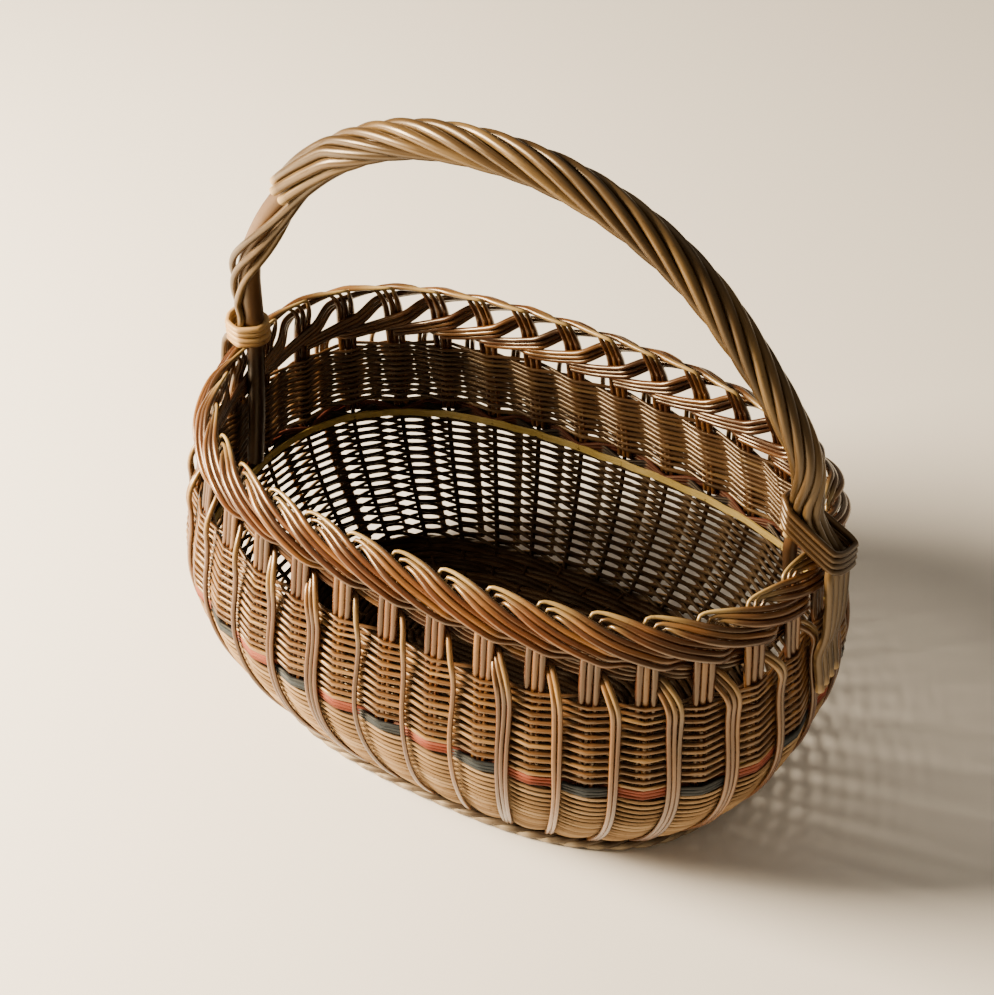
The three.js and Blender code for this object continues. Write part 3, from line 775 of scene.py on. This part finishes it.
def flat_strip(name, height, width, depth, thickness, material, nodes):
    """A closed, upright strip: a curve drawn out over its width and then thickened. It
    swells a little between the stakes."""
    bpy.ops.object.select_all(action="DESELECT")
    bpy.ops.object.add(type="CURVE")
    piece = bpy.context.object
    piece.name = name
    curve = piece.data
    curve.dimensions = "3D"
    curve.twist_mode = "Z_UP"
    curve.extrude = width / 2
    spline = curve.splines.new("POLY")
    spline.points.add(stake_count * strip_samples - 1)
    for i, point in enumerate(spline.points):
        lag = i / strip_samples
        swell = strip_swell * math.cos(2 * math.pi * lag) + uneven(strip_waver)
        point.co = (*on_wall(lag_share(lag), height + uneven(row_waver), depth + swell), 1)
    spline.use_cyclic_u = True
    bpy.ops.object.convert(target="MESH")
    piece = bpy.context.object
    thicken = piece.modifiers.new("thickness", "SOLIDIFY")
    thicken.thickness = thickness
    thicken.offset = 0
    bpy.ops.object.modifier_apply(modifier=thicken.name)
    mesh = piece.data
    note = mesh.attributes.new("rod", "FLOAT_VECTOR", "POINT")
    girth = 2 * (belly_half[0] + belly_half[1])
    along = [math.atan2(v.co.y, v.co.x) / math.pi * girth for v in mesh.vertices]
    note.data.foreach_set("vector", [x for reach in along for x in (strip_tone, reach, 0)])
    bpy.ops.object.mode_set(mode="EDIT")
    bpy.ops.mesh.select_all(action="SELECT")
    bpy.ops.mesh.normals_make_consistent(inside=False)
    bpy.ops.object.mode_set(mode="OBJECT")
    bpy.ops.object.shade_smooth_by_angle(angle=math.radians(40))
    finish_piece(piece, material, nodes)


flat_strip(
    "inner_strip_split", height=100 * mm, width=5.4 * mm, depth=-5.2 * mm,
    thickness=1.2 * mm, material=split_willow, nodes=["inner_strip"],
)


# Base: rows of paired rods that go round a long heart, over one stick and under the next

base_inset = 4.7 * mm
base_half = [half_size(wall_foot, axis) - base_inset for axis in (0, 1)]
base_top = 15 * mm
base_crown = 2 * mm
base_row_count = 10
# The rows end this far in from the edge, as a share of the half width
base_span = 0.92
base_samples = 4
base_row_radius, base_row_lift, base_row_swing = 2.45 * mm, -1.9 * mm, 1.3 * mm
base_stick_radius, base_stick_lift = 1.9 * mm, -2.4 * mm
# Four sticks side by side along the middle
heart_radius, heart_lift, heart_half_length = 2.2 * mm, 0.4 * mm, 70 * mm
heart_places = (-6.6 * mm, -2.2 * mm, 2.2 * mm, 6.6 * mm)


def on_base(stick, reach, lift):
    """A place on the base at a stick, from the heart at reach 0 to the edge at 1."""
    x, y = outline(np.interp(lag_share(stick) % 1, rim_lengths, rim_angles))
    short = base_half[1] * base_span * (1 - reach)
    height = base_top + base_crown * (1 - reach) + lift
    return Vector((x * (base_half[0] - short), y * (base_half[1] - short), height))


base_rows = []
for row in range(base_row_count):
    for twin in (-0.25, 0.25):
        reach = 1 - (row + 0.5 + twin) / base_row_count
        swing = -base_row_swing if row % 2 else base_row_swing
        places = [i / base_samples for i in range(stake_count * base_samples)]
        points = [on_base(x, reach, base_row_lift - swing * weave_wave(x)) for x in places]
        base_rows.append((points, [base_row_radius] * len(points), random.random()))
lay_rods("base_rows", base_rows, dark_willow, ["base"], closed=True)

base_sticks = []
for stick in range(stake_count):
    points = [on_base(stick, reach, base_stick_lift) for reach in even_steps(0, 0.99, 8)]
    base_sticks.append((points, [base_stick_radius] * len(points), random.random()))
for y in heart_places:
    lengthwise = even_steps(-heart_half_length, heart_half_length, 12)
    points = [Vector((x, y, base_top + heart_lift)) for x in lengthwise]
    base_sticks.append((points, [heart_radius] * len(points), random.random()))
lay_rods("base_sticks", base_sticks, dark_willow, [])


# Foot: rods twisted loosely round each other in a roll under the edge of the wall

foot_rod_count = 4
foot_turns = 15
foot_rod_radius = 2.35 * mm
# Middle of the roll and how far its rods lie from it, level and upright
foot_depth, foot_swing = 1.6 * mm, 3.3 * mm
foot_middle, foot_rise = 4.55 * mm, 2.1 * mm
foot_samples = stake_count * row_samples

foot_rods = []
for j in range(foot_rod_count):
    points, wear_and_sheen = [], []
    for i in range(foot_samples):
        share = i / foot_samples
        angle = 2 * math.pi * (j / foot_rod_count + foot_turns * share)
        point = on_wall(share, wall_foot, foot_depth + foot_swing * math.cos(angle))
        point.z = foot_middle + foot_rise * math.sin(angle)
        points.append(point)
        # worn most a little under the roll's outermost line
        wear_and_sheen.append(max(math.cos(angle + 0.6), 0) ** 3 * random.uniform(0.2, 0.8))
    foot_rods.append((points, [foot_rod_radius] * foot_samples, random.random(), wear_and_sheen))
lay_rods(
    "foot_ring_rods", foot_rods, foot_willow, ["foot_ring"],
    closed=True, sides=8,
)


# Handle: eight rods twisted round a core, over the length of the basket

crown_height = 436.5 * mm
half_span = 207.6 * mm
arch_power = 2 / 2.16
arch_start_height = 292 * mm
leg_foot_height = 122 * mm
core_radius = 5.7 * mm
core_depth = -14 * mm
strand_radius = 3.2 * mm
strand_count = 8
strand_angle = 2 * math.pi / strand_count
# Heights where the rods part from the core over the border, where the left leg is straight,
# where rods that don't run on end, where the twist is even, and where the inner rods end
fork_height = 262 * mm
straight_height = 318 * mm
twist_end_height = 360 * mm
settled_height = 398 * mm
inner_end_height = 234 * mm
twist_turns = 3.212
# The twist loosens down the left leg with this power, and its rods come off the core by up
# to the slack
twist_ease = 1.7
slack_most = 1.2 * mm
strand_gap = 0.05 * mm
strand_swell = 0.05
handle_step = 4 * mm
# The right leg leans out over the border. The lean begins between the first two heights and
# ends between the others, as do the changes of thickness under it
lean_out = 8.5 * mm
lean_begins, lean_ends = (226 * mm, 258 * mm), (280 * mm, 370 * mm)
# The core is stouter where it shows on the left leg, and thinner down the right leg
left_stouter, right_thinner = 1.6 * mm, 1.3 * mm
stout_begins, stout_ends = (225 * mm, 250 * mm), (330 * mm, 390 * mm)
thin_ends = (300 * mm, 410 * mm)
# The strands are thinner down the legs, most of all on the left
left_slimmer, right_slimmer = 0.9 * mm, 0.4 * mm
slim_ends = (270 * mm, 400 * mm)
# Depth of the rods outside the border and the spacing of their row, on either side. On the
# right that is the border's outside, a wrapping rod, a little air and half a handle rod
border_outside = 1.3 * layer + 14 * mm / 3
right_outside, right_pitch = border_outside + 2.1 * mm + 0.3 * mm + 3 * mm, 7.5 * mm
left_outside, left_pitch = 12.5 * mm, 5.4 * mm
# On the right the row is closer above the rim
right_squeeze = 0.6
# How a rod bends over the border on the right and on the left: its height over the rim,
# and how far it has gone from its place round the core to its place in the row outside
right_bend = [(27, 0.16), (20, 0.38), (13, 0.62), (7, 0.83), (2, 0.95), (-4, 1)]
left_bend = [(27, 0), (20, 0.03), (13, 0.12), (7, 0.42), (2, 0.78), (-4, 1)]


def leg_place(side, height):
    """Where the core would stand beside the wall, at -1 on the left and at 1 on the right."""
    place = wall_middle(0.5 if side < 0 else 0, height)
    return Vector((place.x + side * core_depth, 0, height))


def leg_lean(x, height):
    """How much further out the leg stands."""
    if x < 0:
        return 0
    return lean_out * smooth_step(height, *lean_begins) * (1 - smooth_step(height, *lean_ends))


def core_path():
    """Centre line of the core, evenly stepped and smoothed where the legs meet the arch."""
    leg = [leg_place(-1, h) for h in even_steps(leg_foot_height, rim_height, 12)]
    arch_height = crown_height - weave_height
    start = math.asin(((arch_start_height - weave_height) / arch_height) ** (1 / arch_power))
    arch = []
    for angle in even_steps(start, math.pi - start, 80):
        c = math.cos(angle)
        x = -half_span * math.copysign(abs(c) ** arch_power, c)
        z = weave_height + arch_height * math.sin(angle) ** arch_power
        arch.append(Vector((x, 0, z)))
    other = [leg_place(1, h) for h in even_steps(rim_height, leg_foot_height, 12)]
    points = np.array([tuple(p) for p in leg + arch + other])
    lengths = np.concatenate([[0], np.cumsum(np.linalg.norm(np.diff(points, axis=0), axis=1))])
    even = np.linspace(0, lengths[-1], 240)
    path = np.stack([np.interp(even, lengths, points[:, axis]) for axis in range(3)], 1)
    for _ in range(12):
        path[1:-1] = (path[:-2] + 2 * path[1:-1] + path[2:]) / 4
    path[:, 0] += [leg_lean(x, z) for x, _, z in path]
    return path


def first_over(path, height):
    """The first step of a path that lies over a height."""
    return int(np.argmax(path[:, 2] > height))


core = core_path()
core_reach = np.concatenate([[0], np.cumsum(np.linalg.norm(np.diff(core, axis=0), axis=1))])
core_last = len(core) - 1
left_fork = first_over(core, fork_height)
right_fork = core_last - first_over(core[::-1], fork_height)
left_straight = first_over(core, straight_height)
twist_end = first_over(core, twist_end_height)
settled = first_over(core, settled_height)
inner_end = core_last - first_over(core[::-1], inner_end_height)
twist_length = core_reach[right_fork] - core_reach[left_fork]


def round_core(i, radius, angle):
    """A place round step i of the core. Angle 0 is the outside of the arch."""
    before, after = core[max(i - 1, 0)], core[min(i + 1, core_last)]
    tangent = Vector(after - before).normalized()
    outward = Vector((-tangent.z, 0, tangent.x))
    sideways = Vector((0, radius * math.sin(angle), 0))
    return Vector(core[i]) + outward * radius * math.cos(angle) + sideways


def core_girth(x, z):
    """Radius of the core."""
    left = smooth_step(z, *stout_begins) * (1 - smooth_step(z, *stout_ends))
    right = 1 - smooth_step(z, *thin_ends)
    return core_radius + (left_stouter * left if x < 0 else -right_thinner * right)


def strand_girth(x, z):
    """Radius of a strand."""
    slimmer = left_slimmer if x < 0 else right_slimmer
    return strand_radius - slimmer * (1 - smooth_step(z, *slim_ends))


def ring_at(x, z):
    """How far the strands' middles lie from the core's."""
    return core_girth(x, z) + strand_girth(x, z) + strand_gap


core_points = [Vector(p) for p in core[::3]]
core_girths = [core_girth(p.x, p.z) for p in core_points]
lay_rods(
    "handle_core_rod", [(core_points, core_girths, 0.5)], core_willow,
    # painted shade on the core's legs inside the rim
    ["handle_core"], sides=12, painted_shade=0.85,
)


def over_rim(side, angle):
    """A handle rod's way from the fork over the border and down the outside."""
    left = side < 0
    outside = left_outside if left else right_outside
    row_pitch = left_pitch if left else right_pitch
    bend = left_bend if left else right_bend
    stops = [(rim_height + rise * mm, outside, in_row) for rise, in_row in bend]
    # height, depth and place in the row, down past the openwork and over the weave to the end
    stops += [
        (rim_height - 29 * mm, outside, 1), (weave_height + 4 * mm, outside - 2 * mm, 1),
        (weave_height - 14 * mm, 9 * mm, 1), (140 * mm, 8.6 * mm, 1), (128 * mm, 8.4 * mm, 1),
    ]
    points = []
    for height, depth, in_row in stops:
        held = leg_place(side, height)
        held.x += leg_lean(held.x, height)
        held += Vector((side * math.cos(angle), math.sin(angle), 0)) * ring_at(held.x, height)
        place = on_wall(0.5 if left else 0, height, depth)
        place.y += angle / strand_angle * row_pitch
        if height > rim_height - 2 * mm and not left:
            place.y *= right_squeeze
        points.append(held.lerp(place, in_row))
    return points


def even_twist(i):
    """How far an even twist has turned at step i of the core, from the right fork."""
    return 2 * math.pi * twist_turns * max(core_reach[right_fork] - core_reach[i], 0) / twist_length


def twist_at(i):
    """How far the rods have turned at step i, with the looser twist down the left leg."""
    if i >= settled:
        return even_twist(i)
    part = (core_reach[settled] - core_reach[i]) / (core_reach[settled] - core_reach[left_fork])
    above, below = even_twist(settled), even_twist(left_straight)
    return above + (below - above) * min(part, 1) ** twist_ease


strand_rods, run_on_rods = [], []
for j in range(strand_count):
    end_angle = (j + 0.5 - strand_count / 2) * strand_angle
    turns = (end_angle + twist_at(left_fork)) / (2 * math.pi)
    left_angle = (turns - round(turns)) * 2 * math.pi
    runs_on = abs(left_angle) < strand_angle * 1.5
    goes_out = abs(end_angle) < math.pi / 2
    first = left_fork if runs_on else twist_end
    last = right_fork if goes_out else inner_end
    points = []
    if runs_on:
        points += over_rim(-1, left_angle)[::-1]
    for i in range(first, last + 1, 2):
        part = min(max((twist_end - i) / (twist_end - left_fork), 0), 1)
        radius = ring_at(core[i][0], core[i][2]) + slack_most * math.sin(math.pi * part)
        points.append(round_core(i, radius, end_angle + twist_at(i)))
    if goes_out:
        points += over_rim(1, end_angle)
    path = [Vector(p) for p in bend_through([(p,) for p in points], handle_step)]
    swells = [1 + strand_swell * math.sin(i * 0.11 + j) for i in range(len(path))]
    radii = [strand_girth(p.x, p.z) * swell for p, swell in zip(path, swells)]
    ends = [max(1 - min(i, len(path) - 1 - i) / 1.5, 0) for i in range(len(path))]
    strand_rods.append(f"handle_strand_{j + 1}_rod")
    lay_rods(
        strand_rods[-1], [(path, radii, random.random(), ends)], handle_willow,
        [f"handle_strand_{j + 1}"], sides=12,
    )
    if runs_on:
        run_on_rods.append(strand_rods[-1])


# Bindings: fine rods wrapped round each leg just above the border

# What lies this close to the leg, and this close to the wrap's level, is held
held_reach, held_rise = 40 * mm, 4 * mm
wrap_samples = 40
# Spacing of the rods of a wrap, in radii
wrap_spacing = 1.96
wrap_waver, wrap_turn = 0.4 * mm, 0.16


def wrap_leg(name, side, held, level, lean, count, radius, material, node):
    """Rods laid side by side round what they hold, as tight as they go at the middle of
    the wrap. The wrap falls by lean for each length along X and Y."""
    middle = leg_place(side, level)

    def fall(x, y):
        return (x - middle.x) * lean[0] + y * lean[1]

    near = []
    for piece in held:
        for vertex in bpy.data.objects[piece].data.vertices:
            x, y, z = vertex.co
            if abs(x - middle.x) < held_reach and abs(z + fall(x, y) - level) < held_rise:
                near.append((x, y))
    near = np.array(near)
    angles = np.linspace(0, 2 * math.pi, wrap_samples, endpoint=False)
    reach = [np.max(near @ (math.cos(a), math.sin(a))) + radius for a in angles]
    # lines that touch what is held, one for each angle, and the corners where they meet
    loop = []
    for i, a in enumerate(angles):
        after = (i + 1) % wrap_samples
        b = angles[after]
        cross = math.cos(a) * math.sin(b) - math.sin(a) * math.cos(b)
        x = (reach[i] * math.sin(b) - reach[after] * math.sin(a)) / cross
        y = (reach[after] * math.cos(a) - reach[i] * math.cos(b)) / cross
        loop.append((x, y))
    loop = np.array(loop)
    for _ in range(2):
        loop = (np.roll(loop, 1, 0) + 4 * loop + np.roll(loop, -1, 0)) / 6
    rods = []
    for j in range(count):
        lift = (j - (count - 1) / 2) * radius * wrap_spacing * math.hypot(1, *lean)
        slip = random.uniform(0, 6)
        points = []
        for i, (x, y) in enumerate(loop):
            waver = wrap_waver * math.sin(i * wrap_turn + slip)
            points.append(Vector((x, y, level + lift - fall(x, y) + waver)))
        rods.append((points, [radius] * len(points), random.random()))
    lay_rods(name, rods, material, [node], closed=True, sides=8)


wrap_leg(
    "left_binding_wrap", side=-1, held=["handle_core_rod"] + run_on_rods,
    level=240 * mm, lean=(0, 0), count=4, radius=2.1 * mm,
    material=wrap_willow, node="left_binding",
)
wrap_leg(
    "right_binding_wrap", side=1, held=["handle_core_rod"] + strand_rods,
    level=254.5 * mm, lean=(0.7, 0.35), count=4, radius=2.05 * mm,
    material=dark_wrap_willow, node="right_binding",
)


# Floor and light

def plain_material(name, hex_colour, roughness):
    material = bpy.data.materials.new(name)
    material.use_nodes = True
    shader = material.node_tree.nodes["Principled BSDF"]
    shader.inputs["Base Color"].default_value = linear(hex_colour)
    shader.inputs["Roughness"].default_value = roughness
    return material


bpy.ops.mesh.primitive_plane_add(size=8)
floor = bpy.context.object
floor.name = "studio_floor"
# Plain matt floor, pale
floor.data.materials.append(plain_material("pale_floor", "f6f3ee", 0.9))


def add_light(name, place, aim, size, power, hex_colour):
    bpy.ops.object.light_add(type="AREA", location=place)
    lamp = bpy.context.object
    lamp.name = name
    lamp.rotation_euler = (Vector(aim) - Vector(place)).to_track_quat("-Z", "Y").to_euler()
    lamp.data.size = size
    lamp.data.energy = power
    lamp.data.color = linear(hex_colour)[:3]


add_light(
    "window_light", place=(-1.35, -0.72, 0.92), aim=(0, 0, 0.15),
    size=0.65, power=188, hex_colour="ffe9c8",
)
add_light(
    "sky_fill", place=(0.3, 0.6, 2.6), aim=(0, 0, 0),
    size=2.4, power=6.5, hex_colour="fbeedb",
)
add_light(
    "wall_bounce", place=(1.6, -0.5, 0.9), aim=(0, 0, 0.1),
    size=1.6, power=2, hex_colour="ffd9a8",
)

world = bpy.data.worlds.new("studio")
bpy.context.scene.world = world
world.use_nodes = True
background = world.node_tree.nodes["Background"]
background.inputs["Color"].default_value = linear("f6e8d2")
background.inputs["Strength"].default_value = 0.15
